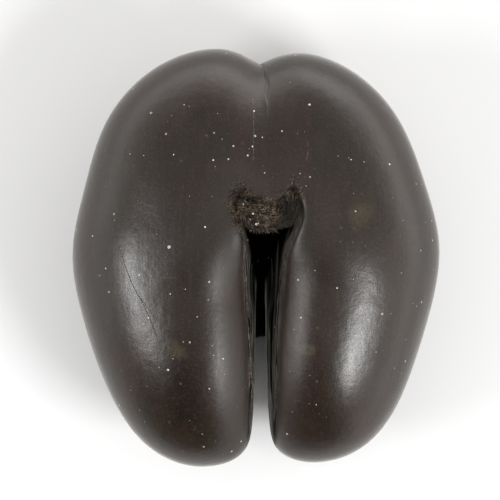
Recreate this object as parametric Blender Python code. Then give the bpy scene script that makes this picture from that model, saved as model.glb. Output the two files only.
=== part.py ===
"""A coco de mer nut lying on its back: a polished two-lobed shell with a tuft of husk fibre in its cleft.

Metres, +Z up. The joined end of the nut points along +Y, the tips of its two lobes along -Y, and its
smooth front looks up. The origin is under the middle of the nut's box, where it rests. The functions
that end in _distance work in the nut's own frame, whose XY plane is the level of its outline.
"""

import math

import bmesh
import bpy
import numpy as np

# Outline of the nut seen from the front: radii at even angles about its centre, anticlockwise from +X
OUTLINE_RADII = (
    0.1278, 0.1269, 0.1320, 0.1409, 0.1452, 0.1462, 0.1499, 0.1486, 0.1408, 0.1329,
    0.1337, 0.1349, 0.1424, 0.1574, 0.1624, 0.1534, 0.1590, 0.1528, 0.1364, 0.1285,
)
OUTLINE_STEPS = 3600
CENTRE_X = 0.0029
CENTRE_Y = 0.0052

# Depth of the nut in front of its outline and behind it, and how full its cross-section is
FRONT_RISE = 0.074
BACK_DROP = 0.084
SIDE_BLEND = 0.030
FRONT_FULLNESS = 2.15
BACK_FULLNESS = 2.60

# Valley between the lobes: how deep, how wide and how round it is on the joined part of the front,
# between the free lobes, at both ends and on the back, where along the nut the lobes come free, and how
# much further from the tips the left one comes free than the right one
VALLEY_DEPTH = {"joined": 0.0055, "free": 0.0280, "end": 0.0130, "back": 0.0230}
VALLEY_WIDTH = {"joined": 0.030, "free": 0.029, "end": 0.018, "back": 0.030}
VALLEY_POWER = {"joined": 2.0, "free": 1.6, "end": 1.3, "back": 1.7}
FREE_FROM_Y = 0.030
FREE_TO_Y = -0.026
FREE_LAG = 0.008
FREE_BLEND = 0.010

# Middle of the valley and the cleft, which leans to the right on its way up to the front
MIDDLE_X = 0.0033
NOTCH_SHIFT = -0.0015
NOTCH_Y = 0.140
TIP_LEAN = 0.035
END_LEAN = 0.090
LEAN_FROM_Y = -0.005
LEAN_TO_Y = 0.030

# Cleft between the lobes: half widths at the tips, deep inside and at the back, and flares of its mouth,
# each with what it adds to the half width, its middle along the nut and its length
TIP_HALF = 0.0064
INNER_HALF = 0.0036
BACK_HALF = 0.0066
STEEP_DEPTH = 0.046
BAY_FLARE = (0.0058, 0.0000, 0.0450)
LEFT_FLARE = (0.0152, 0.0380, 0.0225)
RIGHT_FLARE = (0.0110, 0.0340, 0.0240)
FLARE_BLEND = 0.004

# Closed end of the cleft: a tongue of shell with a notch on each side, sloping down towards the tips
TONGUE_Y = 0.0290
TONGUE_Z = 0.055
TONGUE_TILT = 0.24
NOTCH_RISE = 0.0135
NOTCH_REACH = 0.0160
END_SLOPE = 0.87
CLEFT_CORNER = 0.0018

# How softly the cleft's edges are rounded on the front, behind, at the lobe tips and round the tongue
EDGE_FRONT = 0.0052
EDGE_BACK = 0.0085
EDGE_TIP = 0.0065
EDGE_TONGUE = 0.0026
TIP_FROM_Y = -0.070
TIP_TO_Y = -0.155
TONGUE_FROM_Y = -0.020

# Depth of the two small flats under the lobes, where the nut rests
FLAT_DEPTH = 0.0010
FLAT_SNAP = 0.00025

# Spine through both lobes, from which the surface is measured outwards, ring by ring
TIP_CENTRE_X = {-1: -0.0500, 1: 0.0475}
TIP_CENTRE_Y = -0.101
SHOULDER_REACH = {-1: 0.0760, 1: 0.0700}
FAN_Y = -0.022
FAN_REACH = 0.090
AXIS_LEAN = 0.085
AXIS_SLOPE = 0.84
TIP_RINGS = 9
LOBE_RINGS = 15
FAN_RINGS = 18
COLUMNS = 64
TURN_LENGTH = 0.016
MARCH_STEPS = 90
MARCH_SHARE = 0.75

# Tuft of husk fibre in the closed end of the cleft
TUFT_CENTRE = (0.0075, 0.0230, 0.0530)
TUFT_SINK = 0.0020
TUFT_TILT = 0.45
TUFT_LOW_Y = 0.0190
TUFT_LOW_CURVE = 5.0
TUFT_BACK_Z = 0.024
TUFT_ROUNDING = 0.0016
TUFT_DETAIL = 4
TUFT_GAP = 0.0009
STRAND_HEIGHT = 0.0006
STRAND_WIDTH = 0.0045


def smooth_max(a, b, softness):
    """The larger of two distances, with a rounded edge where they meet."""
    return softness * np.logaddexp(a / softness, b / softness)


def smooth_step(value, start, end):
    """0 before start, 1 after end, and an even curve between them."""
    share = np.clip((value - start) / (end - start), 0.0, 1.0)
    return share * share * (3.0 - 2.0 * share)


def bell(value, middle, width):
    """1 at the middle, falling off evenly to both sides."""
    return np.exp(-(((value - middle) / width) ** 2))


def outline_table():
    """Angles and radii of the smoothest closed curve through OUTLINE_RADII."""
    angles = np.linspace(0.0, 2.0 * math.pi, OUTLINE_STEPS, endpoint=False)
    count = len(OUTLINE_RADII)
    waves = np.fft.rfft(OUTLINE_RADII) / count
    waves[1 : (count + 1) // 2] *= 2.0
    turns = np.exp(1j * np.outer(angles, np.arange(len(waves))))
    return angles, np.real(turns @ waves)


OUTLINE_ANGLES, OUTLINE = outline_table()


def outline_radius(x, y):
    """Radius of the outline in the direction of a point."""
    angle = np.arctan2(y - CENTRE_Y, x - CENTRE_X)
    return np.interp(angle, OUTLINE_ANGLES, OUTLINE, period=2.0 * math.pi)


def front_share(z):
    """1 on the front of the nut and 0 on its back, with a soft change between them."""
    return 0.5 * (1.0 + np.tanh(z / SIDE_BLEND))


def body_distance(x, y, z):
    """Roughly the distance outside the rounded body that both lobes share, negative inside it."""
    radius = outline_radius(x, y)
    front = front_share(z)
    rise = BACK_DROP + (FRONT_RISE - BACK_DROP) * front
    fullness = BACK_FULLNESS + (FRONT_FULLNESS - BACK_FULLNESS) * front
    across = np.hypot(x - CENTRE_X, y - CENTRE_Y) / radius
    up = np.abs(z) / rise
    size = (across**fullness + up**fullness) ** (1.0 / fullness)
    power = fullness - 1.0
    steepness = np.hypot(across**power / radius, up**power / rise)
    return (size - 1.0) * size**power / steepness


def middle_x(y, z):
    """Where the middle between the lobes is, at a place along the nut and a height over its outline."""
    lean = TIP_LEAN + (END_LEAN - TIP_LEAN) * smooth_step(y, LEAN_FROM_Y, LEAN_TO_Y)
    return MIDDLE_X + NOTCH_SHIFT * smooth_step(y, LEAN_TO_Y, NOTCH_Y) + lean * z * front_share(z)


def valley_sink(x, y, z):
    """How far the valley between the lobes lies below their shared body."""
    ahead = (y - CENTRE_Y) / outline_radius(CENTRE_X, 1.0)
    up = z / FRONT_RISE
    length = np.hypot(ahead, up)
    front = (np.clip(up, 0.0, None) / length) ** 2
    aside = x - middle_x(y, z)
    lag = FREE_LAG * 0.5 * (1.0 - np.tanh(aside / FREE_BLEND))
    free = smooth_step(y + lag, FREE_FROM_Y, FREE_TO_Y)
    shares = {
        "joined": front * (1.0 - free),
        "free": front * free,
        "end": (ahead / length) ** 2,
        "back": (np.clip(-up, 0.0, None) / length) ** 2,
    }
    depth, width, power = (
        sum(shares[side] * sizes[side] for side in shares)
        for sizes in (VALLEY_DEPTH, VALLEY_WIDTH, VALLEY_POWER)
    )
    return depth * np.exp(-((np.abs(aside) / width) ** power))


def flare(y, sizes):
    """What one flare adds to the half width of the cleft's mouth at a place along the nut."""
    extra, place, length = sizes
    return extra * bell(y, place, length)


def cleft_distance(x, y, z, depth):
    """Roughly the distance outside the cleft between the lobes, at a depth under their body."""
    aside = x - middle_x(y, z)
    right = 0.5 * (1.0 + np.tanh(aside / FLARE_BLEND))
    side_flare = flare(y, LEFT_FLARE) * (1.0 - right) + flare(y, RIGHT_FLARE) * right
    front_half = TIP_HALF + flare(y, BAY_FLARE) + side_flare
    mouth_half = BACK_HALF + (front_half - BACK_HALF) * front_share(z)
    half = INNER_HALF + (mouth_half - INNER_HALF) * bell(np.clip(depth, 0.0, None), 0.0, STEEP_DEPTH)
    notch = NOTCH_RISE * (1.0 - np.exp(-((aside / NOTCH_REACH) ** 4))) * front_share(z)
    end_y = TONGUE_Y + TONGUE_TILT * aside + notch + END_SLOPE * (z - TONGUE_Z)
    return smooth_max(np.abs(aside) - half, y - end_y, CLEFT_CORNER)


def shell_distance(x, y, z):
    """Roughly the distance outside the shell, negative inside it."""
    body = body_distance(x, y, z) + valley_sink(x, y, z)
    cleft = cleft_distance(x, y, z, -body)
    edge = EDGE_BACK + (EDGE_FRONT - EDGE_BACK) * front_share(z)
    edge = edge + (EDGE_TIP - edge) * smooth_step(y, TIP_FROM_Y, TIP_TO_Y)
    edge = edge + (EDGE_TONGUE - edge) * smooth_step(y, TONGUE_FROM_Y, TONGUE_Y) * front_share(z)
    return smooth_max(body, -cleft, edge)


def tuft_distance(x, y, z):
    """Roughly the distance outside the tuft, which fills the cleft's wide end up to just below the shell."""
    body = body_distance(x, y, z) + valley_sink(x, y, z)
    aside = x - middle_x(y, z)
    top = body + TUFT_SINK + TUFT_TILT * np.clip(TONGUE_Y - y, 0.0, None)
    low = TUFT_LOW_Y + TUFT_LOW_CURVE * aside**2 - y
    back = TUFT_BACK_Z - z
    strands = np.sin((x + 0.4 * y) / STRAND_WIDTH * math.pi) * np.sin((z - y) / STRAND_WIDTH * math.pi)
    cushion = smooth_max(smooth_max(top, low, TUFT_ROUNDING), back, TUFT_ROUNDING) + STRAND_HEIGHT * strands
    return smooth_max(cushion, TUFT_GAP - shell_distance(x, y, z), TUFT_ROUNDING)


def march(distance, origins, directions):
    """Goes from each origin along its direction to the surface where a distance is zero."""
    reach = np.zeros(directions.shape[:-1])
    for _ in range(MARCH_STEPS):
        points = origins + directions * reach[..., None]
        reach -= MARCH_SHARE * distance(points[..., 0], points[..., 1], points[..., 2])
    return origins + directions * reach[..., None]


def cleft_axis():
    """A point and a direction of the line inside the cleft's closed end, round which the rings fan out."""
    direction = np.array((AXIS_LEAN, AXIS_SLOPE, 1.0))
    return np.array((MIDDLE_X, FAN_Y, 0.0)), direction / np.linalg.norm(direction)


def lobe_rings(side):
    """Centre, outward direction, upward direction and lean of each ring of one lobe, from its tip on."""
    middle, axis = cleft_axis()
    straight_up = np.array((0.0, 0.0, 1.0))
    outwards = np.array((float(side), 0.0, 0.0))
    tip = np.array((TIP_CENTRE_X[side], TIP_CENTRE_Y, 0.0))
    shoulder = middle + outwards * SHOULDER_REACH[side]
    rings = []
    for ring in range(1, TIP_RINGS + 1):
        lean = 0.5 * math.pi * ring / (TIP_RINGS + 1)
        rings.append((tip, outwards, straight_up, lean))
    for ring in range(LOBE_RINGS):
        share = ring / LOBE_RINGS
        bow = math.sin(0.5 * math.pi * share)
        centre = tip + (shoulder - tip) * np.array((bow, share, 0.0))
        rings.append((centre, outwards, straight_up + (axis - straight_up) * share, 0.5 * math.pi))
    for ring in range(FAN_RINGS):
        share = ring / FAN_RINGS
        turn = 0.5 * math.pi * share
        spoke = np.array((side * math.cos(turn), math.sin(turn), 0.0))
        reach = SHOULDER_REACH[side] + (FAN_REACH - SHOULDER_REACH[side]) * math.sin(turn) ** 2
        rings.append((middle + spoke * reach, spoke, axis, 0.5 * math.pi))
    return rings


def ring_rays(rings, angles):
    """Origins and directions of the rays of each ring at angles about its centre."""
    centres, outwards, up, lean = (np.array(part) for part in zip(*rings))
    flat = np.cos(angles)[..., None] * outwards[:, None] + np.sin(angles)[..., None] * up[:, None]
    tipwards = np.array((0.0, -1.0, 0.0))
    directions = np.sin(lean)[:, None, None] * flat + np.cos(lean)[:, None, None] * tipwards
    return centres[:, None], directions / np.linalg.norm(directions, axis=-1, keepdims=True)


def even_angles(rings):
    """Angles that spread each ring's points evenly along it, and closer together where it turns."""
    angles = np.linspace(0.0, 2.0 * math.pi, 4 * COLUMNS + 1)
    points = march(shell_distance, *ring_rays(rings, np.tile(angles, (len(rings), 1))))
    spread = []
    for ring in points:
        steps = np.diff(ring, axis=0)
        lengths = np.linalg.norm(steps, axis=1)
        along = steps / lengths[:, None]
        turns = np.arccos(np.clip((along * np.roll(along, 1, axis=0)).sum(1), -1.0, 1.0))
        travelled = np.concatenate(([0.0], np.cumsum(lengths + TURN_LENGTH * turns)))
        wanted = np.linspace(0.0, travelled[-1], COLUMNS, endpoint=False)
        spread.append(np.interp(wanted, travelled, angles))
    return np.array(spread)


def shell_shape():
    """The shell as rings of faces from the tip of one lobe, through the joined end, to the other tip."""
    middle, axis = cleft_axis()
    end_spoke = np.array((0.0, 1.0, 0.0))
    end_ring = (middle + FAN_REACH * end_spoke, end_spoke, axis, 0.5 * math.pi)
    rings = [*lobe_rings(-1), end_ring, *lobe_rings(1)[::-1]]
    shape = bmesh.new()
    loops = [
        [shape.verts.new(point) for point in ring]
        for ring in march(shell_distance, *ring_rays(rings, even_angles(rings)))
    ]
    for first, second in zip(loops, loops[1:]):
        for column in range(COLUMNS):
            after = (column + 1) % COLUMNS
            shape.faces.new((first[column], first[after], second[after], second[column]))
    for side, loop in ((-1, loops[0]), (1, loops[-1])):
        origin = np.array((TIP_CENTRE_X[side], TIP_CENTRE_Y, 0.0))
        tip = shape.verts.new(march(shell_distance, origin, np.array((0.0, -1.0, 0.0))))
        for column in range(COLUMNS):
            shape.faces.new((tip, loop[column], loop[(column + 1) % COLUMNS]))
    bmesh.ops.recalc_face_normals(shape, faces=shape.faces)
    return shape


def cut_flats(shape):
    """Cuts the small flats under the lobes and closes them, with points near their level moved onto it."""
    level = min(vertex.co.z for vertex in shape.verts) + FLAT_DEPTH
    everything = [*shape.verts, *shape.edges, *shape.faces]
    bmesh.ops.bisect_plane(
        shape, geom=everything, dist=FLAT_SNAP,
        plane_co=(0.0, 0.0, level), plane_no=(0.0, 0.0, -1.0), clear_outer=True,
    )
    rims = [edge for edge in shape.edges if edge.is_boundary]
    for edge in rims:
        for vertex in edge.verts:
            vertex.co.z = level
    bmesh.ops.holes_fill(shape, edges=rims, sides=0)
    bmesh.ops.recalc_face_normals(shape, faces=shape.faces)


def tuft_shape():
    """The tuft, as a ball whose points are moved along their rays to the tuft's surface."""
    shape = bmesh.new()
    bmesh.ops.create_icosphere(shape, subdivisions=TUFT_DETAIL, radius=1.0)
    directions = np.array([vertex.co for vertex in shape.verts])
    points = march(tuft_distance, np.array(TUFT_CENTRE), directions)
    for vertex, point in zip(shape.verts, points):
        vertex.co = point
    return shape


def make_material(name, colour, roughness):
    """A plain surface of one colour and one roughness."""
    material = bpy.data.materials.new(name)
    material.use_nodes = True
    surface = material.node_tree.nodes["Principled BSDF"]
    surface.inputs["Base Color"].default_value = (*colour, 1.0)
    surface.inputs["Roughness"].default_value = roughness
    surface.inputs["Metallic"].default_value = 0.0
    return material


def add_object(name, shape, material, shift):
    """Adds a shape to the scene as a smooth object, moved from the nut's own frame to where it rests."""
    bmesh.ops.translate(shape, verts=shape.verts, vec=shift)
    mesh = bpy.data.meshes.new(name)
    shape.to_mesh(mesh)
    shape.free()
    mesh.materials.append(material)
    mesh.shade_smooth()
    mesh.set_sharp_from_angle(angle=math.radians(40.0))
    bpy.context.scene.collection.objects.link(bpy.data.objects.new(name, mesh))


def main():
    for thing in list(bpy.data.objects):
        bpy.data.objects.remove(thing)
    shell = shell_shape()
    cut_flats(shell)
    places = np.array([vertex.co for vertex in shell.verts])
    low, high = places.min(0), places.max(0)
    shift = (-0.5 * (low[0] + high[0]), -0.5 * (low[1] + high[1]), -low[2])
    add_object("shell", shell, make_material("polished_shell", (0.050, 0.040, 0.034), 0.34), shift)
    add_object("fibre_tuft", tuft_shape(), make_material("husk_fibre", (0.055, 0.040, 0.026), 0.95), shift)


main()
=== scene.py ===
"""Looks of a coco de mer nut on a white table, seen from straight above.

Metres, +Z up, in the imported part's own frame: the joined end of the nut points along +Y and its smooth
front looks up. The shell is made again from the part's own values, with finer rings and with its seam,
lips and rough cleft. Fibres, flakes and specks are grown on it by Geometry Nodes.
"""

import math

import bmesh
import bpy
import numpy as np
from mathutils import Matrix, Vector


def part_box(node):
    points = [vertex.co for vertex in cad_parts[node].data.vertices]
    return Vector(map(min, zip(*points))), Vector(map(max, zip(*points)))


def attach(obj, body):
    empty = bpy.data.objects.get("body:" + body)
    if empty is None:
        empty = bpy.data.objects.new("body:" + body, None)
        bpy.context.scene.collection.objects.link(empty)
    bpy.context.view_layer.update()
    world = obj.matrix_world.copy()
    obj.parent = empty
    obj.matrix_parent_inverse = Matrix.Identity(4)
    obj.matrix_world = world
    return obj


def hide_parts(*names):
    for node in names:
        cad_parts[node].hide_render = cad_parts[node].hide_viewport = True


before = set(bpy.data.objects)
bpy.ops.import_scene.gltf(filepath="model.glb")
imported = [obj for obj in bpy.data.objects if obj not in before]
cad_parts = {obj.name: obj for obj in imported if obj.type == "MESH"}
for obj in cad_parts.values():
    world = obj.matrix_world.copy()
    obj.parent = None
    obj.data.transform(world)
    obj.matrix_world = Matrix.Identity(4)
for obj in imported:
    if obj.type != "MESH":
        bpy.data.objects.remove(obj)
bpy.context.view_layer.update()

# Outline of the nut seen from the front: radii at even angles about its centre, anticlockwise from +X
OUTLINE_RADII = (
    0.1278, 0.1269, 0.1320, 0.1409, 0.1452, 0.1462, 0.1499, 0.1486, 0.1408, 0.1329,
    0.1337, 0.1349, 0.1424, 0.1574, 0.1624, 0.1534, 0.1590, 0.1528, 0.1364, 0.1285,
)
OUTLINE_STEPS = 3600
CENTRE_X = 0.0029
CENTRE_Y = 0.0052

# Depth of the nut in front of its outline and behind it, and how full its cross-section is
FRONT_RISE = 0.074
BACK_DROP = 0.084
SIDE_BLEND = 0.030
FRONT_FULLNESS = 2.15
BACK_FULLNESS = 2.60

# Valley between the lobes: how deep, how wide and how round it is on the joined part of the front,
# between the free lobes, at both ends and on the back, where along the nut the lobes come free, and how
# much nearer to the tips the left one does
VALLEY_DEPTH = {"joined": 0.0055, "free": 0.0280, "end": 0.0130, "back": 0.0230}
VALLEY_WIDTH = {"joined": 0.030, "free": 0.029, "end": 0.018, "back": 0.030}
VALLEY_POWER = {"joined": 2.0, "free": 1.6, "end": 1.3, "back": 1.7}
FREE_FROM_Y = 0.030
FREE_TO_Y = -0.026
FREE_LAG = 0.008
FREE_BLEND = 0.010

# Middle of the valley and the cleft, which leans to the right on its way up to the front
MIDDLE_X = 0.0033
NOTCH_SHIFT = -0.0015
NOTCH_Y = 0.140
TIP_LEAN = 0.035
END_LEAN = 0.090
LEAN_FROM_Y = -0.005
LEAN_TO_Y = 0.030

# Cleft between the lobes: its half width at the tips, deep inside and at the back, and how deep its mouth is
TIP_HALF = 0.0064
INNER_HALF = 0.0036
BACK_HALF = 0.0066
STEEP_DEPTH = 0.046

# Flares of the cleft's mouth: what each adds to the half width, its middle along the nut and its length
BAY_FLARE = (0.0058, 0.0000, 0.0450)
LEFT_FLARE = (0.0152, 0.0380, 0.0225)
RIGHT_FLARE = (0.0110, 0.0340, 0.0240)
FLARE_BLEND = 0.004

# Closed end of the cleft: a tongue of shell with a notch on each side, sloping down towards the tips
TONGUE_Y = 0.0290
TONGUE_Z = 0.055
TONGUE_TILT = 0.24
NOTCH_RISE = 0.0135
NOTCH_REACH = 0.0160
END_SLOPE = 0.87
CLEFT_CORNER = 0.0018

# How softly the cleft's edges are rounded on the front, behind, at the lobe tips and round the tongue
EDGE_FRONT = 0.0052
EDGE_BACK = 0.0085
EDGE_TIP = 0.0065
EDGE_TONGUE = 0.0026
TIP_FROM_Y = -0.070
TIP_TO_Y = -0.155
TONGUE_FROM_Y = -0.020

# Tuft of husk fibre in the closed end of the cleft
TUFT_CENTRE = (0.0075, 0.0230, 0.0530)
TUFT_SINK = 0.0020
TUFT_TILT = 0.45
TUFT_LOW_Y = 0.0190
TUFT_LOW_CURVE = 5.0
TUFT_BACK_Z = 0.024
TUFT_ROUNDING = 0.0016
TUFT_GAP = 0.0009
TUFT_DETAIL = 6
LUMP_HEIGHT = 0.0007
LUMP_SIZE = 0.004

# Spine through both lobes, from which the surface is measured outwards, ring by ring
TIP_CENTRE_X = {-1: -0.0500, 1: 0.0475}
TIP_CENTRE_Y = -0.101
SHOULDER_REACH = {-1: 0.0760, 1: 0.0700}
FAN_Y = -0.022
FAN_REACH = 0.090
AXIS_LEAN = 0.085
AXIS_SLOPE = 0.84
TIP_RINGS = 36
LOBE_RINGS = 74
FAN_RINGS = 84
FAN_CROWD = 1.5
COLUMNS = 250
GUIDE_STEP = 6
TURN_LENGTH = 0.012
EDGE_CROWD = 2.2
EDGE_REACH = 0.006
MARCH_STEPS = 70
MARCH_SHARE = 0.75
MARCH_STOP = 1e-7

# Noise of the relief, and how far in front of the outline the relief of the front is whole
NOISE_SEED = 7
NOISE_CELLS = 16
UPPER_RISE = 0.03

# Relief of the shell: low swells, and the seam at the joined end with the height and length of its waves
SWELL_HEIGHT = 0.0006
SWELL_SIZE = 0.034
SWELL_STRETCH = 1.6
SEAM_SHIFT = 0.0022
SEAM_WAVES = ((0.0006, 0.0060), (0.0004, 0.0023))
SEAM_DEPTH = 0.0013
SEAM_WIDTH = 0.0007
SEAM_FROM_Y = 0.088
SEAM_TO_Y = 0.132

# Lips of the cleft, where each ends along the nut, the gutter beside them and the rough wall below them
LIP_HEIGHT = 0.0008
LIP_DEPTH = 0.0050
LIP_WIDTH = 0.0011
LIP_PIECES = (0.009, 0.020, 1.0)
LIP_BREAKS = 0.35
LIP_END_Y = {-1: 0.004, 1: 0.040}
LIP_FADE = 0.014
LIP_FROM_Z = 0.02
LIP_SHARE = 0.3
GUTTER_DEPTH = 0.0004
GUTTER_AT = 0.0024
GUTTER_WIDTH = 0.0011
WALL_HEIGHT = 0.0011
WALL_GRAIN = (0.0045, 0.022, 0.0045)
CLEFT_REACH = 0.0035

# Depths below the lips between which the polish ends and the wall's dull brown, partly painted shade, comes
# in, and between which painted shade turns the wall black
WALL_DEPTHS = (-0.001, 0.003)
INSIDE_DEPTHS = (0.001, 0.009)

# Duller strip of shell beside the cleft, and the fuzz round its closed end
DUSTY_AT = 0.010
DUSTY_WIDTH = 0.014
DUSTY_BLEND = 0.002
FUZZ_END_Y = {-1: 0.014, 1: 0.036}
FUZZ_FADE = 0.012
FUZZ_AT = 0.0004
FUZZ_WIDTH = 0.0024
FUZZ_DEPTH = 0.010

# Camera, which looks straight down: its place in the nut's own frame, and its lens and sensor in millimetres
CAMERA_X = -0.0043
CAMERA_Y = 0.0052
CAMERA_RISE = 1.0
CAMERA_LENS = 100.2
SENSOR_WIDTH = 36.0


def smooth_max(a, b, softness):
    """The larger of two distances, with a rounded edge where they meet."""
    return softness * np.logaddexp(a / softness, b / softness)


def smooth_step(value, start, end):
    """0 before start, 1 after end, and an even curve between them."""
    share = np.clip((value - start) / (end - start), 0.0, 1.0)
    return share * share * (3.0 - 2.0 * share)


def bell(value, middle, width):
    """1 at the middle, falling off evenly to both sides."""
    return np.exp(-(((value - middle) / width) ** 2))


def outline_table():
    """Angles and radii of the smoothest closed curve through OUTLINE_RADII."""
    angles = np.linspace(0.0, 2.0 * math.pi, OUTLINE_STEPS, endpoint=False)
    count = len(OUTLINE_RADII)
    waves = np.fft.rfft(OUTLINE_RADII) / count
    waves[1 : (count + 1) // 2] *= 2.0
    turns = np.exp(1j * np.outer(angles, np.arange(len(waves))))
    return angles, np.real(turns @ waves)


OUTLINE_ANGLES, OUTLINE = outline_table()
NOISE_TABLE = np.random.default_rng(NOISE_SEED).uniform(-1.0, 1.0, (NOISE_CELLS,) * 3)


def uneven(x, y, z, sizes):
    """Smooth noise between -1 and 1, whose patches have a size along each axis."""
    places = np.stack((x / sizes[0], y / sizes[1], z / sizes[2]), -1)
    cells = np.floor(places).astype(int)
    shares = places - cells
    shares = shares * shares * (3.0 - 2.0 * shares)
    total = 0.0
    for corner in np.ndindex(2, 2, 2):
        weight = np.prod(np.where(corner, shares, 1.0 - shares), axis=-1)
        i, j, k = np.moveaxis((cells + corner) % NOISE_CELLS, -1, 0)
        total = total + weight * NOISE_TABLE[i, j, k]
    return total


def outline_radius(x, y):
    """Radius of the outline in the direction of a point."""
    angle = np.arctan2(y - CENTRE_Y, x - CENTRE_X)
    return np.interp(angle, OUTLINE_ANGLES, OUTLINE, period=2.0 * math.pi)


def front_share(z):
    """1 on the front of the nut and 0 on its back, with a soft change between them."""
    return 0.5 * (1.0 + np.tanh(z / SIDE_BLEND))


def upper_share(z):
    """0 at the outline and behind it, and 1 a little in front of it."""
    return smooth_step(z, 0.0, UPPER_RISE)


def body_distance(x, y, z):
    """Roughly the distance outside the rounded body that both lobes share, below zero inside it."""
    radius = outline_radius(x, y)
    front = front_share(z)
    rise = BACK_DROP + (FRONT_RISE - BACK_DROP) * front
    fullness = BACK_FULLNESS + (FRONT_FULLNESS - BACK_FULLNESS) * front
    across = np.hypot(x - CENTRE_X, y - CENTRE_Y) / radius
    up = np.abs(z) / rise
    size = (across**fullness + up**fullness) ** (1.0 / fullness)
    power = fullness - 1.0
    steepness = np.hypot(across**power / radius, up**power / rise)
    return (size - 1.0) * size**power / steepness


def middle_x(y, z):
    """Where the middle between the lobes is, at a place along the nut and a height over its outline."""
    lean = TIP_LEAN + (END_LEAN - TIP_LEAN) * smooth_step(y, LEAN_FROM_Y, LEAN_TO_Y)
    return MIDDLE_X + NOTCH_SHIFT * smooth_step(y, LEAN_TO_Y, NOTCH_Y) + lean * z * front_share(z)


def valley_sink(x, y, z):
    """How far the valley between the lobes lies below their shared body."""
    ahead = (y - CENTRE_Y) / outline_radius(CENTRE_X, 1.0)
    up = z / FRONT_RISE
    length = np.hypot(ahead, up)
    front = (np.clip(up, 0.0, None) / length) ** 2
    aside = x - middle_x(y, z)
    lag = FREE_LAG * 0.5 * (1.0 - np.tanh(aside / FREE_BLEND))
    free = smooth_step(y + lag, FREE_FROM_Y, FREE_TO_Y)
    shares = {
        "joined": front * (1.0 - free),
        "free": front * free,
        "end": (ahead / length) ** 2,
        "back": (np.clip(-up, 0.0, None) / length) ** 2,
    }
    depth, width, power = (
        sum(shares[side] * sizes[side] for side in shares)
        for sizes in (VALLEY_DEPTH, VALLEY_WIDTH, VALLEY_POWER)
    )
    return depth * np.exp(-((np.abs(aside) / width) ** power))


def lobes_distance(x, y, z):
    """Roughly the distance outside the body with the valley between its lobes, but without the cleft."""
    return body_distance(x, y, z) + valley_sink(x, y, z)


def flare(y, sizes):
    """What one flare adds to the half width of the cleft's mouth at a place along the nut."""
    extra, place, length = sizes
    return extra * bell(y, place, length)


def cleft_distance(x, y, z, depth):
    """Roughly the distance outside the cleft between the lobes, at a depth under their body."""
    aside = x - middle_x(y, z)
    right = 0.5 * (1.0 + np.tanh(aside / FLARE_BLEND))
    side_flare = flare(y, LEFT_FLARE) * (1.0 - right) + flare(y, RIGHT_FLARE) * right
    front_half = TIP_HALF + flare(y, BAY_FLARE) + side_flare
    mouth_half = BACK_HALF + (front_half - BACK_HALF) * front_share(z)
    half = INNER_HALF + (mouth_half - INNER_HALF) * bell(np.clip(depth, 0.0, None), 0.0, STEEP_DEPTH)
    notch = NOTCH_RISE * (1.0 - np.exp(-((aside / NOTCH_REACH) ** 4))) * front_share(z)
    end_y = TONGUE_Y + TONGUE_TILT * aside + notch + END_SLOPE * (z - TONGUE_Z)
    return smooth_max(np.abs(aside) - half, y - end_y, CLEFT_CORNER)


def plain_shell(y, z, body, cleft):
    """Distance outside the shell without its relief."""
    edge = EDGE_BACK + (EDGE_FRONT - EDGE_BACK) * front_share(z)
    edge = edge + (EDGE_TIP - edge) * smooth_step(y, TIP_FROM_Y, TIP_TO_Y)
    edge = edge + (EDGE_TONGUE - edge) * smooth_step(y, TONGUE_FROM_Y, TONGUE_Y) * front_share(z)
    return smooth_max(body, -cleft, edge)


def seam_sink(x, y, z):
    """Depth of the seam that runs from the notch at the joined end down the front."""
    wander = sum(height * np.sin(y / length) for height, length in SEAM_WAVES)
    fade = smooth_step(y, SEAM_FROM_Y, SEAM_TO_Y) * front_share(z)
    seam_x = middle_x(y, z) + SEAM_SHIFT * upper_share(z)
    return SEAM_DEPTH * fade * bell(x, seam_x + wander, SEAM_WIDTH)


def beside_cleft(x, y, z, cleft):
    """1 on the front at the cleft's lips, 0 elsewhere and along the tongue."""
    aside = x - middle_x(y, z)
    end_y = np.where(aside < 0.0, LIP_END_Y[-1], LIP_END_Y[1])
    along = smooth_step(y, end_y, end_y - LIP_FADE)
    return along * bell(np.clip(cleft, 0.0, None), 0.0, CLEFT_REACH) * upper_share(z)


def lip_rise(y, z, depth):
    """Height of the raised lip along the cleft's front edge, less the gutter beside it."""
    broken = 1.0 - LIP_BREAKS + LIP_BREAKS * uneven(y, z, 0.0 * z, LIP_PIECES)
    lip = LIP_HEIGHT * broken * bell(depth, LIP_DEPTH, LIP_WIDTH)
    return lip - GUTTER_DEPTH * bell(depth, GUTTER_AT, GUTTER_WIDTH)


def shell_distance(x, y, z):
    """Roughly the distance outside the shell with all its relief."""
    body = lobes_distance(x, y, z)
    cleft = cleft_distance(x, y, z, -body)
    rough = WALL_HEIGHT * smooth_step(-body, LIP_DEPTH, 2.0 * LIP_DEPTH) * uneven(x, y, z, WALL_GRAIN)
    lips = beside_cleft(x, y, z, cleft)
    swell = SWELL_HEIGHT * uneven(x, y, z, (SWELL_SIZE, SWELL_STRETCH * SWELL_SIZE, SWELL_SIZE))
    relief = seam_sink(x, y, z) - lips * (lip_rise(y, z, -body) + rough) - swell
    return plain_shell(y, z, body, cleft) + relief


def tuft_distance(x, y, z):
    """Roughly the distance outside the tuft's core."""
    body = lobes_distance(x, y, z)
    shell = plain_shell(y, z, body, cleft_distance(x, y, z, -body))
    aside = x - middle_x(y, z)
    top = body + TUFT_SINK + TUFT_TILT * np.clip(TONGUE_Y - y, 0.0, None)
    low = TUFT_LOW_Y + TUFT_LOW_CURVE * aside**2 - y
    cushion = smooth_max(smooth_max(top, low, TUFT_ROUNDING), TUFT_BACK_Z - z, TUFT_ROUNDING)
    lumps = LUMP_HEIGHT * uneven(x, y, z, (LUMP_SIZE,) * 3)
    return smooth_max(cushion + lumps, TUFT_GAP - shell, TUFT_ROUNDING)


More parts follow.
